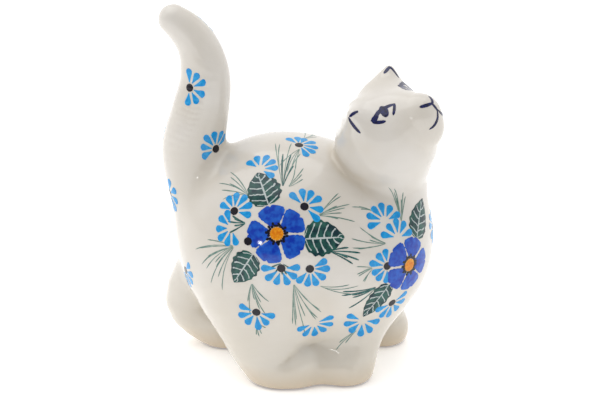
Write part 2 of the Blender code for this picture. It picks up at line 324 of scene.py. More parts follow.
def evened(points, quads):  # half way to the mean of the neighbours
    total, count = np.zeros_like(points), np.zeros(len(points))
    for i in range(4):
        a, b = quads[:, i], quads[:, (i + 1) % 4]
        for one, other in ((a, b), (b, a)):
            count += np.bincount(one, minlength=len(points))
            for k in range(3):
                total[:, k] += np.bincount(one, weights=points[other, k], minlength=len(points))
    return (points + total / count[:, None]) / 2


def inMetres(p):
    return (np.asarray(p, float) - formMiddle) * mm


def inForm(mesh):  # a mesh's points, back in the form's millimetres
    flat = np.empty(len(mesh.vertices) * 3)
    mesh.vertices.foreach_get("co", flat)
    return flat.reshape(-1, 3) / mm + formMiddle


def asObject(name, mesh):
    made = bpy.data.objects.new(name, mesh)
    bpy.context.scene.collection.objects.link(made)
    return made


def regionOf(p):  # which piece each point belongs to
    owner = np.full(len(p), "body_shell", dtype=object)
    for name, ((x0, x1, y0, y1), point, normal) in regions.items():
        inside = (p[:, 0] > x0) & (p[:, 0] < x1) & (p[:, 1] > y0) & (p[:, 1] < y1)
        owner[inside & ((p - np.array(point, float)) @ unit(normal) > 0)] = name
    for name, side in (("left_ear", 1), ("right_ear", -1)):
        root, _, out, front, up = earFrame(side)
        q = (p - clayForm["headCentre"]) @ clayForm["headAxes"].T - root
        room = clayForm["earRoom"]
        near = (np.abs(q @ out) < room) & (np.abs(q @ front) < room)
        owner[near & (q @ up > clayForm["earJoint"]) & (q @ up < clayForm["earReach"])] = name
    return owner


def jointPlanes():  # every plane that a joint lies in, with the footprint it reaches over
    for footprint, point, normal in [*regions.values(), skin["feetJoint"]]:
        yield footprint, np.array(point, float), unit(normal)
    axes, half = clayForm["headAxes"], skin["earHalf"]
    for side in (1, -1):
        root, _, _, _, up = earFrame(side)
        point = clayForm["headCentre"] + (root + clayForm["earJoint"] * up) @ axes
        yield (point[0] - half, point[0] + half, point[1] - half, point[1] + half), point, up @ axes


def closeJoints(piece):  # every open rim turns into the clay, then closes in a fan to its own middle
    rims = [e for e in piece.edges if e.is_boundary]
    edge = list({v for e in rims for v in e.verts})
    places = np.array([v.co for v in edge]) / mm + formMiddle
    ways = slope(clay, places)
    under = inMetres(places - skin["jointInset"] * ways / np.linalg.norm(ways, axis=1)[:, None])
    below = {v: piece.verts.new(c) for v, c in zip(edge, under)}
    for rim in rims:
        a, b = rim.link_loops[0].vert, rim.link_loops[0].link_loop_next.vert
        piece.faces.new((b, a, below[a], below[b]))
    rims = {e for e in piece.edges if e.is_boundary}
    while rims:
        ring, waiting = [], [next(iter(rims))]
        while waiting:
            edge = waiting.pop()
            if edge in rims:
                rims.remove(edge)
                ring.append(edge)
                waiting += [e for v in edge.verts for e in v.link_edges if e in rims]
        ends = {v for e in ring for v in e.verts}
        middle = piece.verts.new(sum((v.co for v in ends), Vector()) / len(ends))
        for edge in ring:
            a, b = edge.link_loops[0].vert, edge.link_loops[0].link_loop_next.vert
            piece.faces.new((b, a, middle))


def splitSkin(points, quads):  # one closed mesh for each piece, meeting on the joint planes
    bm = bmesh.new()
    verts = [bm.verts.new(c) for c in inMetres(points)]
    for quad in quads:
        bm.faces.new([verts[i] for i in quad])
    more, depth = skin["cutMargin"], skin["cutDepth"] * mm
    for (x0, x1, y0, y1), point, normal in jointPlanes():
        at, way = Vector(inMetres(point)), Vector(normal)
        near = []
        for face in bm.faces:
            c = face.calc_center_median()
            x, y = c.x / mm + formMiddle[0], c.y / mm + formMiddle[1]
            inside = x0 - more < x < x1 + more and y0 - more < y < y1 + more
            if inside and abs((c - at).dot(way)) < depth:
                near.append(face)
        geometry = near + list({e for f in near for e in f.edges}) + list({v for f in near for v in f.verts})
        bmesh.ops.bisect_plane(bm, geom=geometry, dist=1e-7, plane_co=at, plane_no=way)
    bm.faces.ensure_lookup_table()
    centres = np.array([f.calc_center_median() for f in bm.faces]) / mm + formMiddle
    owners = regionOf(centres)
    pieces = {}
    for name in ["body_shell", "left_ear", "right_ear"] + list(regions):
        piece = bmesh.new()
        made = {}
        for i in np.flatnonzero(owners == name):
            corners = []
            for v in bm.faces[i].verts:
                if v.index not in made:
                    made[v.index] = piece.verts.new(v.co)
                corners.append(made[v.index])
            piece.faces.new(corners)
        closeJoints(piece)
        mesh = bpy.data.meshes.new(name + "_glaze")
        piece.to_mesh(mesh)
        piece.free()
        pieces[name] = asObject(name + "_glaze", mesh)
    bm.free()
    return pieces


def smoothNormals(mesh):  # shaded as the true surface, so that no joint or stroke shows an edge
    p = inForm(mesh)
    own = np.empty(len(p) * 3)
    mesh.vertices.foreach_get("normal", own)
    own = own.reshape(-1, 3)
    g = slope(clay, p)
    g /= np.maximum(np.linalg.norm(g, axis=1), 1e-9)[:, None]
    onSkin = np.abs(clay(p)) < skin["onSkin"]
    mesh.polygons.foreach_set("use_smooth", [True] * len(mesh.polygons))
    mesh.normals_split_custom_set_from_vertices(np.where(onSkin[:, None], g, own).tolist())


points, quads = skinMesh(clay, skin["low"], skin["high"], skin["cell"], skin["rounds"])
print("clay skin:", len(points), "points")
pieces = splitSkin(points, quads)
print("pieces:", {name: len(piece.data.polygons) for name, piece in pieces.items()})


# White stoneware, slip cast, dipped in clear glaze and fired: milky and shiny, with a painted shade that
# turns it warmer low down, glaze pooling and painted shade in the creases, a tan band round the feet that is
# partly toasted glaze and partly painted shadow and warm floor reflection, and wiped bare on the soles.
# Distances in millimetres
glazeLook = {
    "pale": "#D4CFC8", "milky": "#CAC3B8",
    "cloud": 26.0, "cloudFrom": 0.35, "cloudTo": 0.65, "cloudShare": 0.8,
    # painted shade: a warmer tone lower down, full at 12 mm and gone at 60 mm
    "creamShade": "#D6CEBF", "creamShadeTop": 60.0, "creamShadeShare": 0.55,
    # glaze pooling together with painted shade: darker where the surface is hollow
    "poolAndShade": "#BDAF96", "poolAndShadeReach": 2.6, "poolAndShadeDepth": 1.3,
    # round the feet: painted shadow and painted warm floor reflection, partly real toasting of the glaze
    "toastShadeAndReflection": "#CAB18B", "toastShadeAndReflectionTop": 12.0, "toastShadeAndReflectionShare": 0.55,
    "bare": "#6E5138", "soleHeight": 0.9,
    "roughness": 0.08, "clayIndex": 1.52, "paintIndex": 1.44,
}


def glossy(name, index):  # a material under the clear coat that lies over the clay and over every colour
    material = bpy.data.materials.new(name)
    material.use_nodes = True
    shader = material.node_tree.nodes["Principled BSDF"]
    shader.inputs["Roughness"].default_value = glazeLook["roughness"]
    shader.inputs["IOR"].default_value = index
    return material, material.node_tree, shader


def glazedStoneware():
    look = glazeLook
    material, tree, shader = glossy("clear glazed stoneware", look["clayIndex"])
    add, sole = partial(node, tree), look["soleHeight"] * mm
    place = add("ShaderNodeTexCoord", output="Object")
    height = add("ShaderNodeSeparateXYZ", {0: place}, "Z")
    cloud = add("ShaderNodeTexNoise", {"Vector": place, "Scale": 1 / (look["cloud"] * mm)})
    cloud = add("ShaderNodeMapRange", {
        0: cloud, 1: look["cloudFrom"], 2: look["cloudTo"], 3: 0.0, 4: look["cloudShare"]})
    # darker in hollows: real glaze pooling plus painted crease shade
    poolAndShade = add("ShaderNodeAttribute", output="Fac", attribute_name="poolAndShade")
    # painted shade: warmer towards the bottom
    creamShade = add("ShaderNodeMapRange", {
        0: height, 1: look["toastShadeAndReflectionTop"] * mm, 2: look["creamShadeTop"] * mm, 3: look["creamShadeShare"], 4: 0.0})
    # tan from the soles up to 12 mm: painted shadow and floor reflection, with some real toasting
    toastShadeAndReflection = add("ShaderNodeMapRange", {
        0: height, 1: sole, 2: look["toastShadeAndReflectionTop"] * mm, 3: look["toastShadeAndReflectionShare"], 4: 0.0})
    bare = add("ShaderNodeMath", {0: height, 1: sole}, operation="LESS_THAN")
    body = linear(look["pale"])
    shares = {"milky": cloud, "poolAndShade": poolAndShade, "creamShade": creamShade, "toastShadeAndReflection": toastShadeAndReflection, "bare": bare}
    for colour, share in shares.items():
        body = add("ShaderNodeMix", {0: share, 6: body, 7: linear(look[colour])}, 2, data_type="RGBA")
    tree.links.new(body, shader.inputs["Base Color"])
    return material


def markPoolsAndShade(mesh):  # how hollow the surface is round each point, where glaze gathers and where painted crease shade falls
    p, reach = inForm(mesh), glazeLook["poolAndShadeReach"]
    total = -6 * clay(p)
    for i in range(3):
        for way in (-reach, reach):
            step = np.zeros(3)
            step[i] = way
            total += clay(p + step)
    poolAndShade = np.clip(-total / reach**2 * glazeLook["poolAndShadeDepth"], 0, 1)
    mesh.attributes.new("poolAndShade", "FLOAT", "POINT").data.foreach_set("value", poolAndShade.astype(np.float32))


glaze = glazedStoneware()
for name, piece in pieces.items():
    smoothNormals(piece.data)
    markPoolsAndShade(piece.data)
    piece.data.materials.append(glaze)
    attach(piece, "root")
    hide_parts(name)
print("glaze laid on", len(pieces), "pieces")


# Marks: every one is a loaded-brush stroke, a thin closed patch laid on the clay.
# How wide each kind of stroke is, from its start to its end, as shares of its length and width
brushOutlines = {
    "petal": [(0, 0.10), (0.25, 0.34), (0.55, 0.78), (0.78, 1.0), (0.93, 0.78), (1, 0.15)],
    "broadPetal": [(0, 0.30), (0.15, 0.49), (0.3, 0.70), (0.45, 0.88), (0.58, 0.98), (0.7, 1.0),
                   (0.82, 0.92), (0.92, 0.72), (1, 0.42)],
    "leaf": [(0, 0.35), (0.08, 0.74), (0.25, 0.97), (0.45, 1.0), (0.7, 0.76), (0.88, 0.38), (1, 0.04)],
    "blade": [(0, 0.30), (0.3, 0.60), (0.75, 0.90), (0.93, 1.0), (1, 0.2)],
    "line": [(0, 0.35), (0.12, 0.85), (0.5, 1.0), (0.85, 0.85), (1, 0.30)],
    "wedge": [(0, 0.9), (0.3, 1.0), (0.7, 0.7), (1, 0.15)],
    "round": [(0, 0.10), (0.06, 0.48), (0.2, 0.8), (0.5, 1.0), (0.8, 0.8), (0.94, 0.48), (1, 0.10)],
}
# How far each mark reaches into the clay, and how much higher each next one of a fan lies, in mm; the
# ripple's rate along a wavering rim
coat = {"root": 0.12, "step": 0.002, "rippleRate": 34}


def brushMark(outline, steps=(14, 7), bow=0.0, bend=0.0, cup=0.0, notch=0.0, ripple=0.0):
    # length runs 0 to 1 and width -1 to 1; the sizes are given when it is laid
    rows, columns = steps
    along, across = np.meshgrid(np.sin(np.linspace(0, np.pi / 2, rows)) ** 1.5,
                                np.sin(np.linspace(-np.pi / 2, np.pi / 2, columns)), indexing="ij")
    half = np.interp(along, *np.array(brushOutlines[outline]).T)
    x = along - along**3 * (cup * across**2 + notch * (1 - np.abs(across)) ** 3)
    y = across * half * (1 + ripple * np.sin(along * coat["rippleRate"])) / 2
    y = y + bow * 4 * along * (1 - along) + bend * along**2
    flat = np.stack([x, y, np.zeros_like(x)], -1).reshape(-1, 3)
    count = len(flat)
    index = np.arange(count).reshape(rows, columns)
    top = np.stack([index[:-1, :-1], index[1:, :-1], index[1:, 1:], index[:-1, 1:]], -1).reshape(-1, 4)
    rim = np.concatenate([index[:, 0], index[-1, 1:], index[-2::-1, -1], index[0, -2:0:-1]])
    after = np.roll(rim, -1)
    wall = np.stack([after, rim, rim + count, after + count], -1)
    mesh = bpy.data.meshes.new("brush mark")
    faces = np.vstack([top, top[:, ::-1] + count, wall])
    mesh.from_pydata(np.vstack([flat, flat]).tolist(), [], faces.tolist())
    for name, values in (
        ("along", np.tile(along.ravel(), 2)), ("across", np.tile(across.ravel(), 2)),
        ("face", np.repeat([1.0, 0.0], count)),
    ):
        mesh.attributes.new(name, "FLOAT", "POINT").data.foreach_set("value", values.astype(np.float32))
    return asObject("brush mark", mesh)


layingInputs = {
    "Mark": "Object", "Clay": "Object", "Paint": "Material", "Marks": "Int", "Seed": "Int",
    "First": "Float", "Spread": "Float", "Stray": "Float", "Inner": "Float", "Length": "Float",
    "Width": "Float", "Uneven": "Float", "Lift": "Float",
    "Middle": "Vector", "Facing": "Vector", "Along": "Vector",
}


def layingTree():  # fans a mark round a middle, then presses the fan onto the clay
    tree = bpy.data.node_groups.new("marks laid on clay", "GeometryNodeTree")
    for name, kind in layingInputs.items():
        tree.interface.new_socket(name, in_out="INPUT", socket_type="NodeSocket" + kind)
    tree.interface.new_socket("Geometry", in_out="OUTPUT", socket_type="NodeSocketGeometry")
    given = tree.nodes.new("NodeGroupInput").outputs
    add = partial(node, tree)

    # a point for each mark, turned by its share of the spread and a little astray
    index = add("GeometryNodeInputIndex")
    gaps = add("ShaderNodeMath", {0: given["Marks"], 1: 1.0}, operation="SUBTRACT")
    gaps = add("ShaderNodeMath", {0: gaps, 1: 1.0}, operation="MAXIMUM")
    share = add("ShaderNodeMath", {0: index, 1: gaps}, operation="DIVIDE")
    stray = add("FunctionNodeRandomValue", {2: -1.0, 3: 1.0, "ID": index, "Seed": given["Seed"]}, 1)
    seed = add("ShaderNodeMath", {0: given["Seed"], 1: 7.0}, operation="ADD")
    grown = add("FunctionNodeRandomValue", {2: -1.0, 3: 1.0, "ID": index, "Seed": seed}, 1)
    turn = add("ShaderNodeMath", {0: share, 1: given["Spread"], 2: given["First"]}, operation="MULTIPLY_ADD")
    turn = add("ShaderNodeMath", {0: stray, 1: given["Stray"], 2: turn}, operation="MULTIPLY_ADD")
    size = add("ShaderNodeMath", {0: grown, 1: given["Uneven"], 2: 1.0}, operation="MULTIPLY_ADD")
    length = add("ShaderNodeMath", {0: size, 1: given["Length"]}, operation="MULTIPLY")

    # the marks, each with its foot at the inner radius and stretched to its length and width
    cosine = add("ShaderNodeMath", {0: turn}, operation="COSINE")
    sine = add("ShaderNodeMath", {0: turn}, operation="SINE")
    way = add("ShaderNodeCombineXYZ", {0: cosine, 1: sine})
    start = add("ShaderNodeVectorMath", {0: way, "Scale": given["Inner"]}, operation="SCALE")
    points = add("GeometryNodePoints", {"Count": given["Marks"], "Position": start})
    euler = add("ShaderNodeCombineXYZ", {2: turn})
    rotation = add("FunctionNodeEulerToRotation", {0: euler})
    scale = add("ShaderNodeCombineXYZ", {0: length, 1: given["Width"], 2: 1.0})
    mark = add("GeometryNodeObjectInfo", {"Object": given["Mark"]}, "Geometry")
    marks = add("GeometryNodeInstanceOnPoints", {
        "Points": points, "Instance": mark, "Rotation": rotation, "Scale": scale})
    marks = add("GeometryNodeStoreNamedAttribute", {
        "Geometry": marks, "Name": "order", "Value": index}, domain="INSTANCE", data_type="FLOAT")
    marks = add("GeometryNodeRealizeInstances", {0: marks})

    # the flat fan set against the clay, then every point brought to the nearest clay
    facing = add("FunctionNodeAxesToRotation", {0: given["Facing"], 1: given["Along"]},
                 primary_axis="Z", secondary_axis="X")
    here = add("GeometryNodeInputPosition")
    spot = add("FunctionNodeRotateVector", {"Vector": here, "Rotation": facing})
    spot = add("ShaderNodeVectorMath", {0: spot, 1: given["Middle"]}, operation="ADD")
    clayMesh = add("GeometryNodeObjectInfo", {"Object": given["Clay"]}, "Geometry")
    nearest = add("GeometryNodeProximity", {"Geometry": clayMesh, "Sample Position": spot},
                  "Position", target_element="FACES")
    normal = add("GeometryNodeInputNormal")
    outward = add("GeometryNodeSampleNearestSurface", {
        "Mesh": clayMesh, "Value": normal, "Sample Position": spot}, "Value", data_type="FLOAT_VECTOR")
    outward = add("ShaderNodeVectorMath", {0: outward}, operation="NORMALIZE")
    upper = add("GeometryNodeInputNamedAttribute", {"Name": "face"}, data_type="FLOAT")
    order = add("GeometryNodeInputNamedAttribute", {"Name": "order"}, data_type="FLOAT")
    root, step = coat["root"] * mm, coat["step"] * mm
    height = add("ShaderNodeMath", {0: order, 1: step, 2: given["Lift"]}, operation="MULTIPLY_ADD")
    height = add("ShaderNodeMath", {0: height, 1: root}, operation="ADD")
    height = add("ShaderNodeMath", {0: height, 1: upper, 2: -root}, operation="MULTIPLY_ADD")
    rise = add("ShaderNodeVectorMath", {0: outward, "Scale": height}, operation="SCALE")
    laid = add("ShaderNodeVectorMath", {0: nearest, 1: rise}, operation="ADD")
    marks = add("GeometryNodeSetPosition", {"Geometry": marks, "Position": laid})
    marks = add("GeometryNodeSetShadeSmooth", {"Geometry": marks})
    marks = add("GeometryNodeSetMaterial", {"Geometry": marks, "Material": given["Paint"]})
    add("NodeGroupOutput", {0: marks})
    return tree


laying = layingTree()
layingKeys = {item.name: item.identifier for item in laying.interface.items_tree if item.in_out == "INPUT"}


def onClay(p):  # the nearest point of the clay and its outward direction, in the form's mm
    p = np.array([p], float)
    for _ in range(4):
        p = settled(clay, p, 3)
    return p[0], unit(slope(clay, p)[0])


def lay(outline, colour, place, facing, way, length, width, marks=1, first=0, last=0, inner=0.0,
        lift=0.1, stray=0.0, uneven=0.0, seed=1, steps=(14, 7), **bends):
    # place, facing and way in the form's mm, angles in degrees from the way, sizes in mm
    mark = brushMark(outline, steps, **bends)
    fan = asObject("laid marks", bpy.data.meshes.new("laid marks"))
    step = fan.modifiers.new("lay", "NODES")
    step.node_group = laying
    values = {
        "Mark": mark, "Clay": clayObject, "Paint": colour, "Marks": marks, "Seed": seed,
        "First": math.radians(first), "Spread": math.radians(last - first), "Stray": math.radians(stray),
        "Inner": inner * mm, "Length": length * mm, "Width": width * mm, "Uneven": uneven, "Lift": lift * mm,
        "Middle": inMetres(place).tolist(), "Facing": facing.tolist(), "Along": way.tolist(),
    }
    for name, value in values.items():
        step[layingKeys[name]] = value
    graph = bpy.context.evaluated_depsgraph_get()
    laid = fan.evaluated_get(graph)
    mesh = bpy.data.meshes.new_from_object(laid, preserve_all_data_layers=True, depsgraph=graph)
    fan.modifiers.clear()
    fan.data = mesh
    bpy.data.objects.remove(mark)
    return fan


def layFan(outline, colour, place, length, width, **more):  # angles from the level tangent, anticlockwise
    place, normal = onClay(place)
    level = unit(np.cross((0, 0, 1), normal))
    return lay(outline, colour, place, normal, level, length, width, **more)


def layDot(colour, place, size, **more):
    return layFan("round", colour, place, size, size, inner=-size / 2, **more)


def layStroke(colour, start, end, width, bow, outline, past, **more):  # runs a little past both its spots
    (start, first), (end, last) = onClay(start), onClay(end)
    middle, chord = (start + end) / 2, unit(end - start)
    length = np.linalg.norm(end - start) + past
    normal = first + last
    normal = unit(normal - (normal @ chord) * chord)
    crown, _ = onClay(middle + 3 * normal)
    middle = middle + max((crown - middle) @ normal, 0) * normal
    return lay(outline, colour, middle, normal, chord, length, width, inner=-length / 2,
               bow=bow / width, **more)


def join(objects, name):
    first = objects[0]
    chosen = {"active_object": first, "object": first}
    with bpy.context.temp_override(selected_editable_objects=objects, selected_objects=objects, **chosen):
        bpy.ops.object.join()
    first.name = name
    smoothNormals(first.data)
    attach(first, "root")
    print(name, len(first.data.polygons), "faces")


# Where a stroke begins to pale, as shares of its half width and its length, and its mottling's strength
wash = {"rimFrom": 0.45, "endFrom": 0.35, "mottleFrom": 0.38, "mottleTo": 0.66, "mottle": 0.7}


def brushedColour(name, deep, pale, rim, grain, end=0.0):
    # thin where the brush left the clay, so the rim and the far end fire paler than the middle
    material, tree, shader = glossy(name, glazeLook["paintIndex"])
    add = partial(node, tree)
    place = add("ShaderNodeTexCoord", output="Object")
    across = add("ShaderNodeAttribute", output="Fac", attribute_name="across")
    along = add("ShaderNodeAttribute", output="Fac", attribute_name="along")
    width = add("ShaderNodeMath", {0: across}, operation="ABSOLUTE")
    edge = add("ShaderNodeMapRange", {0: width, 1: wash["rimFrom"], 2: 1.0, 3: 0.0, 4: rim})
    tip = add("ShaderNodeMapRange", {0: along, 1: wash["endFrom"], 2: 1.0, 3: 0.0, 4: end})
    cloud = add("ShaderNodeTexNoise", {"Vector": place, "Scale": 1 / (grain * mm), "Detail": 3.0})
    mottle = add("ShaderNodeMapRange", {
        0: cloud, 1: wash["mottleFrom"], 2: wash["mottleTo"], 3: 0.0, 4: wash["mottle"]})
    thin = add("ShaderNodeMath", {0: edge, 1: tip}, operation="ADD")
    thin = add("ShaderNodeMath", {0: thin, 1: mottle}, operation="ADD", use_clamp=True)
    colour = add("ShaderNodeMix", {0: thin, 6: linear(deep), 7: linear(pale)}, 2, data_type="RGBA")
    tree.links.new(colour, shader.inputs["Base Color"])
    return material


# Copper green under the glaze, the veins scratched back towards the white clay; shares of the leaf's
# length and half width, and its mottling in millimetres
leafLook = {
    "deep": "#082A33", "green": "#27594F", "vein": "#B4BCBB",
    "veins": 5.6, "veinShare": 0.18, "sweep": -0.17, "sweepPower": 1.3, "offset": 0.035, "waver": 0.09,
    "wavering": 2.2, "veinEnd": 0.84, "midrib": 0.05, "midribEnd": 0.93,
    "mottle": 3.2, "mottleFrom": 0.36, "mottleTo": 0.64,
    "lift": 0.09, "ripple": 0.055, "steps": (36, 21),
}


def leafColour():
    look = leafLook
    material, tree, shader = glossy("copper green leaf", glazeLook["paintIndex"])
    add = partial(node, tree)
    place = add("ShaderNodeTexCoord", output="Object")
    across = add("ShaderNodeAttribute", output="Fac", attribute_name="across")
    along = add("ShaderNodeAttribute", output="Fac", attribute_name="along")
    width = add("ShaderNodeMath", {0: across}, operation="ABSOLUTE")
    side = add("ShaderNodeMath", {0: across}, operation="SIGN")
    wander = add("ShaderNodeTexNoise", {"Vector": place, "Scale": 1 / (look["wavering"] * mm)})

    # side veins sweep towards the tip, waver, and meet the midrib by turns
    swept = add("ShaderNodeMath", {0: width, 1: look["sweepPower"]}, operation="POWER")
    swept = add("ShaderNodeMath", {0: swept, 1: look["sweep"], 2: along}, operation="MULTIPLY_ADD")
    swept = add("ShaderNodeMath", {0: wander, 1: look["waver"], 2: swept}, operation="MULTIPLY_ADD")
    swept = add("ShaderNodeMath", {0: side, 1: look["offset"], 2: swept}, operation="MULTIPLY_ADD")
    count = add("ShaderNodeMath", {0: swept, 1: look["veins"]}, operation="MULTIPLY")
    phase = add("ShaderNodeMath", {0: count}, operation="FRACT")
    ribs = add("ShaderNodeMath", {0: phase, 1: look["veinShare"]}, operation="LESS_THAN")
    short = add("ShaderNodeMath", {0: width, 1: look["veinEnd"]}, operation="LESS_THAN")
    ribs = add("ShaderNodeMath", {0: ribs, 1: short}, operation="MULTIPLY")
    middle = add("ShaderNodeMath", {0: width, 1: look["midrib"]}, operation="LESS_THAN")
    short = add("ShaderNodeMath", {0: along, 1: look["midribEnd"]}, operation="LESS_THAN")
    middle = add("ShaderNodeMath", {0: middle, 1: short}, operation="MULTIPLY")
    veins = add("ShaderNodeMath", {0: ribs, 1: middle}, operation="MAXIMUM")

    tone = add("ShaderNodeTexNoise", {"Vector": place, "Scale": 1 / (look["mottle"] * mm), "Detail": 3.0})
    tone = add("ShaderNodeMapRange", {0: tone, 1: look["mottleFrom"], 2: look["mottleTo"]})
    deep, green, vein = (linear(look[name]) for name in ("deep", "green", "vein"))
    colour = add("ShaderNodeMix", {0: tone, 6: deep, 7: green}, 2, data_type="RGBA")
    colour = add("ShaderNodeMix", {0: veins, 6: colour, 7: vein}, 2, data_type="RGBA")
    tree.links.new(colour, shader.inputs["Base Color"])
    return material


# Underglaze colours: cobalt washed thin for the daisies and brushed full for the open flowers, greens,
# iron orange, manganese for the dots, and cobalt over manganese for the lines of the face.
# Name, deep and pale colour, paler rim, mottling in millimetres, and how much paler the far end is
skyBlue = brushedColour("thin cobalt wash", "#0084C8", "#22A4DE", 0.5, 1.4, end=-0.25)
flowerBlue = brushedColour("full cobalt blue", "#002C9E", "#1F63C4", 0.25, 2.4, end=0.15)
grassGreen = brushedColour("thin green wash", "#5B7C72", "#97A89E", 0.2, 3.0, end=-0.3)
stemGreen = brushedColour("brushed dark green", "#174A4A", "#557F78", 0.3, 2.0, end=-0.2)
amber = brushedColour("iron orange", "#CC6C00", "#E8A420", 0.3, 1.0)
manganese = brushedColour("manganese dark", "#060309", "#130E22", 0.3, 1.5)
navy = brushedColour("navy line", "#070A30", "#1C2460", 0.35, 1.2)
leafGreen = leafColour()
print("colours mixed")

# Places in the form's mm, angles in degrees. Daisies: middle, first and last petal's angle, petals,
# and 1 if it has an eye
daisies = [
    (-39.9, -7.6, 100.4, 200, 28, 6, 1), (-50.8, -7.3, 127.9, 98, -92, 6, 1),
    (-60.4, 8.5, 104.0, 80, -80, 6, 1), (-45.0, 9.6, 151.0, 100, 262, 6, 1),
    (-45.0, 13.0, 120.0, 60, -100, 6, 1), (-50.0, 15.0, 92.0, 120, -50, 6, 1),
    (-60.5, -2.0, 78.0, 60, -120, 6, 1), (-51.5, -16.5, 48.0, 40, -140, 6, 1),
    (-3.9, -8.5, 102.4, 104, -90, 7, 1), (-20.6, -22.1, 96.1, 154, -20, 6, 0),
    (-31.4, -32.9, 81.0, 166, -5, 6, 1), (-32.5, -35.9, 74.5, 120, 298, 6, 0),
    (-1.6, -36.3, 84.3, 130, -46, 6, 1), (-11.4, -45.3, 59.8, 180, 362, 6, 1),
    (0.7, -45.3, 59.5, 28, -130, 6, 1), (-22.0, -42.3, 38.8, 163, 345, 6, 1),
    (2.6, -38.7, 31.9, 203, 388, 6, 0), (32.7, -30.9, 75.7, 187, 14, 6, 0),
    (38.4, -31.4, 68.2, 157, 8, 5, 0), (33.8, -36.7, 57.4, 94, 265, 6, 1),
    (23.3, -33.6, 31.5, 150, 345, 6, 0), (36.3, -30.6, 37.9, 200, 385, 6, 1),
    (54.2, -4.5, 64.0, 95, 270, 6, 1),
]
daisyLook = {
    "inner": 2.3, "length": 6.1, "width": 3.3, "stray": 3, "uneven": 0.10, "lift": 0.10, "steps": (7, 4),
    "eye": 3.6, "eyeLift": 0.13, "eyeSteps": (12, 9), "lone": (-25.5, -40.6, 70.2), "loneLift": 0.15,
}
# Open flowers: middle, first petal's angle
flowers = [(-13.3, -41.9, 74.1, 37), (43.6, -29.7, 55.1, -6)]
flowerLook = {
    "petals": 5, "spread": 288, "inner": 3.4, "length": 9.9, "width": 11.8, "stray": 3, "uneven": 0.04,
    "cup": 0.10, "notch": 0.12, "ripple": 0.04, "lift": 0.13, "steps": (20, 17),
    "heart": 5.8, "heartRipple": 0.05, "heartSteps": (16, 11),
    "bead": 1.25, "beadStray": 5, "beadUneven": 0.2, "beadLift": 0.15, "beadSteps": (6, 4),
    "rings": [(3.5, 20, 0, 342), (4.4, 11, 8, 352)],  # radius, beads, first and last angle
}
# Leaves: stalk end, angle, length, width
leaves = [
    (-16.8, -35.5, 84.9, 115, 17.0, 15.0), (-1.4, -42.8, 72.1, 1, 17.3, 15.5),
    (-23.4, -42.4, 64.9, -122, 15.7, 12.5), (46.8, -23.9, 65.4, 60, 17.5, 12.5),
    (34.6, -35.7, 48.5, -121, 19.1, 10.0),
]
# Tufts of grass: root, first and last angle, blades, length, bend, 1 for the darker brush
tufts = [
    (-10.8, -30.8, 91.0, 100, 74, 4, 15, -0.8, 1), (-10.8, -30.8, 91.0, 103, 80, 3, 24, -1.2, 0),
    (-8.6, -30.8, 91.0, 50, 24, 3, 9, 0.8, 0), (-25.3, -31.0, 87.2, 170, 132, 5, 11, 1.2, 0),
    (-26.2, -37.5, 77.3, 168, 215, 5, 6.5, -0.5, 1), (-31.4, -38.9, 67.2, 172, 238, 7, 16, 1.5, 0),
    (-23.8, -43.2, 52.6, 254, 302, 5, 10, 0.8, 0), (-6.2, -45.5, 52.9, 262, 304, 6, 19, 0.8, 0),
    (4.7, -44.8, 51.6, 326, 340, 2, 13, 2.0, 0), (8.9, -42.9, 66.5, 8, -30, 5, 11, -0.8, 1),
    (4.3, -37.7, 80.7, 42, -10, 5, 11, -0.6, 0), (-21.5, -41.6, 33.8, 256, 308, 3, 5, 0.5, 0),
    (-3.5, -11.3, 101.7, 210, 238, 3, 12, 0.8, 0), (-1.9, -1.6, 103.0, -30, 5, 3, 9, 0.8, 0),
    (29.3, -38.2, 48.5, 190, 226, 5, 14, -1.6, 1), (33.4, -35.0, 67.1, 146, 192, 5, 10, -0.8, 0),
    (27.7, -39.3, 57.6, 170, 222, 4, 5.5, 0.5, 0), (27.7, -30.1, 79.9, 140, 156, 2, 7, 0.6, 0),
    (39.8, -27.0, 73.7, 60, 92, 5, 11, 0.6, 0), (21.0, -32.8, 27.0, 210, 226, 2, 9, 0.5, 0),
    (-11.0, -45.0, 62.0, 200, 320, 5, 5, 0.4, 1),
]
grassLook = {
    "paleWidth": 0.5, "darkWidth": 0.8, "inner": 0.6, "stray": 6, "uneven": 0.3, "lift": 0.07,
    "steps": (9, 2),
    "short": (1.0, 1.4), "arching": (1.2, 3.4),  # share of the length and of the bend
    "archingTurn": 6, "archingFewer": 2,
}
# The mirrored bouquet leaves out the marks near the middle line and on the tail
single = {"middleLine": 12, "tailFront": -40, "tailFoot": 85}


def flank(items, flip):  # both flanks carry the same bouquet, as mirror images
    for i, (x, y, z, *rest) in enumerate(items):
        onTail = x < single["tailFront"] and z > single["tailFoot"]
        if flip == 1 or not (abs(y) < single["middleLine"] or onTail):
            yield i, (x, y * flip, z), rest


def facingWay(flip, angle):
    return angle if flip == 1 else 180 - angle


def layDaisies():
    look, petals, eyes = daisyLook, [], []
    for flip in (1, -1):
        for i, place, (first, last, count, eye) in flank(daisies, flip):
            petals.append(layFan(
                "petal", skyBlue, place, look["length"], look["width"], marks=count, inner=look["inner"],
                first=facingWay(flip, first), last=facingWay(flip, last), stray=look["stray"],
                uneven=look["uneven"], seed=i + 1, lift=look["lift"], steps=look["steps"]))
            if eye:
                eyes.append(layDot(manganese, place, look["eye"], lift=look["eyeLift"], seed=i,
                                   steps=look["eyeSteps"]))
        x, y, z = look["lone"]
        eyes.append(layDot(manganese, (x, y * flip, z), look["eye"], lift=look["loneLift"],
                           steps=look["eyeSteps"]))
    join(petals, "daisy_petals")
    join(eyes, "daisy_eyes")


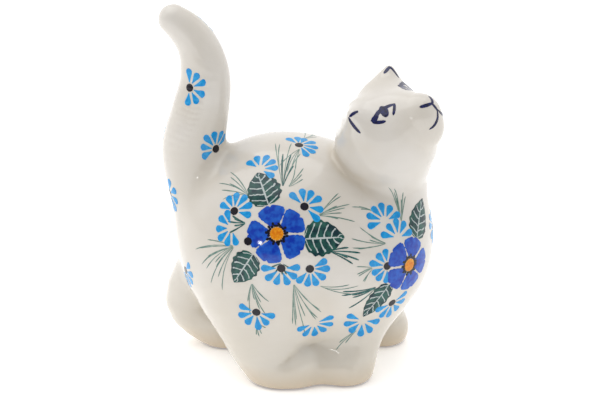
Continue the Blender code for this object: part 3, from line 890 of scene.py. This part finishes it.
def layFlowers():
    look, petals, hearts, beads = flowerLook, [], [], []
    for flip in (1, -1):
        for i, place, (first,) in flank(flowers, flip):
            last = facingWay(flip, first + look["spread"])
            petals.append(layFan(
                "broadPetal", flowerBlue, place, look["length"], look["width"], marks=look["petals"],
                first=facingWay(flip, first), last=last, inner=look["inner"], stray=look["stray"],
                uneven=look["uneven"], seed=i + 4, lift=look["lift"], cup=look["cup"], notch=look["notch"],
                ripple=look["ripple"], steps=look["steps"]))
            hearts.append(layDot(amber, place, look["heart"], lift=look["lift"], ripple=look["heartRipple"],
                                 steps=look["heartSteps"]))
            for ring, (radius, count, start, end) in enumerate(look["rings"]):
                beads.append(layFan(
                    "round", manganese, place, look["bead"], look["bead"], marks=count, first=start, last=end,
                    inner=radius - look["bead"] / 2, stray=look["beadStray"], uneven=look["beadUneven"],
                    seed=i + 9 * ring, lift=look["beadLift"], steps=look["beadSteps"]))
    join(petals, "flower_petals")
    join(hearts, "flower_hearts")
    join(beads, "flower_beads")


def layLeaves():
    look, greens = leafLook, []
    for flip in (1, -1):
        for _, place, (angle, length, width) in flank(leaves, flip):
            angle = facingWay(flip, angle)
            greens.append(layFan("leaf", leafGreen, place, length, width, first=angle, last=angle,
                                 lift=look["lift"], ripple=look["ripple"], steps=look["steps"]))
    join(greens, "leaves")


def layGrass():
    look, blades, stems = grassLook, [], []
    both, fewer = ["short", "arching"], grassLook["archingFewer"]
    for flip in (1, -1):
        for i, place, (first, last, count, length, bend, dark) in flank(tufts, flip):
            colour, pile, kinds = (stemGreen, stems, ["short"]) if dark else (grassGreen, blades, both)
            width = look["darkWidth"] if dark else look["paleWidth"]
            for part, kind in enumerate(kinds):
                share, sweep = look[kind]
                pile.append(layFan(
                    "blade", colour, place, length * share, width, marks=max(1, count - fewer * part),
                    first=facingWay(flip, first + look["archingTurn"] * part), last=facingWay(flip, last),
                    inner=look["inner"], stray=look["stray"], uneven=look["uneven"], seed=i + 30 + 50 * part,
                    lift=look["lift"], bend=bend * sweep * flip / width, steps=look["steps"]))
    join(blades, "grass_blades")
    join(stems, "dark_stems")


# Face lines: start and end as forward, left and up from the middle of the head, then width, bow and outline.
# The eyes and the mouth are drawn on both sides
faceLines = {
    "nose": [
        ((28.9, -4.8, 3.3), (31.4, -0.4, 1.0), 1.6, -0.3, "line"),
        ((31.4, -0.6, 0.8), (30.3, 2.6, 3.6), 1.4, -0.8, "line"),
        ((31.4, -0.4, 1.2), (31.3, 0.0, -3.3), 1.3, 0.0, "line"),
    ],
    "ears": [
        ((8.4, -20.8, 18.7), (11.2, -16.4, 18.1), 1.4, 0.0, "line"),
        ((8.4, -20.8, 18.7), (8.1, -20.9, 10.8), 1.5, -0.4, "line"),
        ((10.6, 17.9, 19.9), (9.7, 13.6, 19.6), 1.6, 0.0, "line"),
        ((10.6, 17.9, 19.9), (11.8, 16.7, 14.2), 1.3, 0.2, "line"),
    ],
    "eyes": [
        ((13.1, 16.0, 10.5), (20.0, 6.0, 10.2), 1.9, 2.0, "line"),
        ((19.9, 6.0, 10.3), (19.3, 10.0, 7.6), 1.3, 0.25, "line"),
        ((15.3, 8.6, 12.6), (17.2, 11.6, 8.9), 3.7, 0.2, "round"),
        ((13.1, 16.0, 10.5), (16.2, 13.3, 7.7), 1.5, -0.2, "line"),
        ((13.2, 15.8, 10.6), (14.9, 12.2, 11.6), 2.6, 0.2, "wedge"),
    ],
    "mouth": [((31.3, 0.2, -2.9), (26.6, 6.6, -6.6), 1.35, 1.5, "line")],
    "past": 0.7, "lift": 0.1, "steps": (18, 7),
}


def layFace():
    look, lines = faceLines, []
    for start, end, width, bow, outline in look["nose"] + look["ears"]:
        lines.append((start, end, width, bow, outline, 1))
    for start, end, width, bow, outline in look["eyes"] + look["mouth"]:
        lines.append((start, end, width, -bow, outline, 1))
        lines.append((start, end, width, bow, outline, -1))
    drawn = []
    for start, end, width, bow, outline, side in lines:
        start, end = [np.array(v) * (1, side, 1) for v in (start, end)]
        start, end = [v @ clayForm["headAxes"] + clayForm["headCentre"] for v in (start, end)]
        drawn.append(layStroke(navy, start, end, width, bow, outline, look["past"], lift=look["lift"],
                               steps=look["steps"]))
    join(drawn, "face_lines")


clayMesh = bpy.data.meshes.new("clay form")
clayMesh.from_pydata(inMetres(points).tolist(), [], quads.tolist())
clayObject = asObject("clay form", clayMesh)
layDaisies()
layFlowers()
layLeaves()
layGrass()
layFace()
bpy.data.objects.remove(clayObject)
print("cat painted")


# A white sweep, lit from below as well, in a light tent that is open to the darker room in front, with a
# lamp on top and a small one at the side. Metres and degrees
studio = {
    "distance": 0.95, "elevation": 20, "lens": 129.5, "sensor": 36, "aim": (-0.0002, -0.0003, 0.074),
    "tent": 1.1, "room": 0.25, "roomEnd": -0.95, "openEdge": 0.1,
    "sweep": 8, "paper": "#FFFFFF", "paperRoughness": 0.9, "backlight": 0.3,
    "lampAim": (0, 0, 0.08),
    "lamps": {  # place, size and power
        "top_lamp": ((-0.3, 0.1, 1.5), 1.7, 11.0),
        "front_lamp": ((-0.50, -0.98, 0.25), 0.05, 0.4),
    },
}


def addTent():
    world = bpy.data.worlds.new("light tent")
    bpy.context.scene.world = world
    world.use_nodes = True
    background = world.node_tree.nodes["Background"]
    add = partial(node, world.node_tree)
    back = add("ShaderNodeSeparateXYZ", {0: add("ShaderNodeTexCoord", output="Generated")}, "Y")
    glow = add("ShaderNodeMapRange", {
        0: back, 1: studio["roomEnd"], 2: studio["openEdge"], 3: studio["room"], 4: studio["tent"]})
    world.node_tree.links.new(glow, background.inputs["Strength"])
    background.inputs["Color"].default_value = (1, 1, 1, 1)


def addSweep():
    bpy.ops.mesh.primitive_plane_add(size=studio["sweep"])
    floor = bpy.context.object
    floor.name = "floor"
    paper = bpy.data.materials.new("white paper sweep")
    paper.use_nodes = True
    inputs = paper.node_tree.nodes["Principled BSDF"].inputs
    inputs["Base Color"].default_value = linear(studio["paper"])
    inputs["Roughness"].default_value = studio["paperRoughness"]
    inputs["Emission Color"].default_value = (1, 1, 1, 1)
    inputs["Emission Strength"].default_value = studio["backlight"]
    floor.data.materials.append(paper)


def addLamps():
    for name, (place, size, power) in studio["lamps"].items():
        lamp = bpy.data.lights.new(name, "AREA")
        lamp.size, lamp.energy = size, power
        holder = bpy.data.objects.new(name, lamp)
        holder.location = place
        down = Vector(studio["lampAim"]) - Vector(place)
        holder.rotation_euler = down.to_track_quat("-Z", "Y").to_euler()
        bpy.context.scene.collection.objects.link(holder)


def addCamera():
    scene = bpy.context.scene
    scene.view_settings.view_transform = "Standard"  # plain sRGB, so that the glaze colours stay as mixed
    camera = bpy.data.objects.new("camera", bpy.data.cameras.new("camera"))
    camera.data.lens, camera.data.sensor_width = studio["lens"], studio["sensor"]
    lift, aim = math.radians(studio["elevation"]), Vector(studio["aim"])
    camera.location = aim + studio["distance"] * Vector((0, -math.cos(lift), math.sin(lift)))
    camera.rotation_euler = (math.pi / 2 - lift, 0, 0)
    scene.collection.objects.link(camera)
    scene.camera = camera


addTent()
addSweep()
addLamps()
addCamera()
print("studio set")
